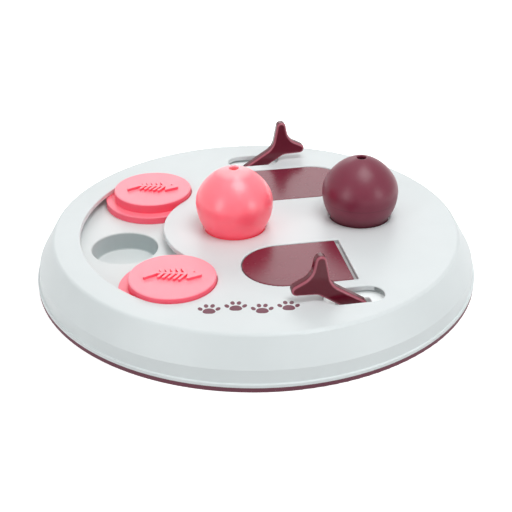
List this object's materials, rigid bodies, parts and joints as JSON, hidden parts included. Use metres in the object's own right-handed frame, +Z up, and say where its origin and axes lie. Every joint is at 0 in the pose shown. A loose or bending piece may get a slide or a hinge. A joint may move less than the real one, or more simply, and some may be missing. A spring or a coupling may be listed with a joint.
{
  "type": "cat puzzle board",
  "caption": "Round cat puzzle board with lids that slide in a curved channel, lift-off cones and treat flaps opened by fish-tail levers.",
  "frame": {"origin": "centre of the round board, at the level it stands on", "axes": "+Z up, +X along the row of cones, away from the curved channel; +Y towards the rear flap"},
  "size_m": [0.2312, 0.2312, 0.0579],
  "materials": {
    "shell_white": "satin",
    "tray_white": "satin",
    "ring_burgundy": "matt",
    "lid_pink": "satin",
    "cone_pink": "satin",
    "cone_burgundy": "satin",
    "flap_burgundy": "gloss",
    "screw_steel": "zinc plated"
  },
  "bodies": {
    "board": {"top_shell": "shell_white", "base_tray": "tray_white", "rubber_ring": "ring_burgundy", "screws": "screw_steel"},
    "slider_rear": {"slider_rear": "lid_pink"},
    "slider_front": {"slider_front": "lid_pink"},
    "cone_pink": {"cone_pink": "cone_pink"},
    "cone_burgundy": {"cone_burgundy": "cone_burgundy"},
    "flap_lever_front": {"flap_lever_front": "flap_burgundy"},
    "flap_lever_rear": {"flap_lever_rear": "flap_burgundy"}
  },
  "joints": [
    {"name": "slider_rear_travel", "type": "hinge", "parent": "board", "child": "slider_rear", "pos_m": [0, 0, 0.0178], "axis": [0, 0, 1], "range_deg": [0, 45]},
    {"name": "slider_front_travel", "type": "hinge", "parent": "board", "child": "slider_front", "pos_m": [0, 0, 0.0178], "axis": [0, 0, 1], "range_deg": [-45, 0]},
    {"name": "cone_pink_lift", "type": "slide", "parent": "board", "child": "cone_pink", "axis": [0, 0, 1], "range_m": [0, 0.04]},
    {"name": "cone_burgundy_lift", "type": "slide", "parent": "board", "child": "cone_burgundy", "axis": [0, 0, 1], "range_m": [0, 0.04]},
    {"name": "flap_front_turn", "type": "hinge", "parent": "board", "child": "flap_lever_front", "pos_m": [0.0324, -0.0452, 0.0202], "axis": [0, 1, 0], "range_deg": [0, 105]},
    {"name": "flap_rear_turn", "type": "hinge", "parent": "board", "child": "flap_lever_rear", "pos_m": [0.0132, 0.0468, 0.0202], "axis": [0, -1, 0], "range_deg": [0, 105]}
  ]
}
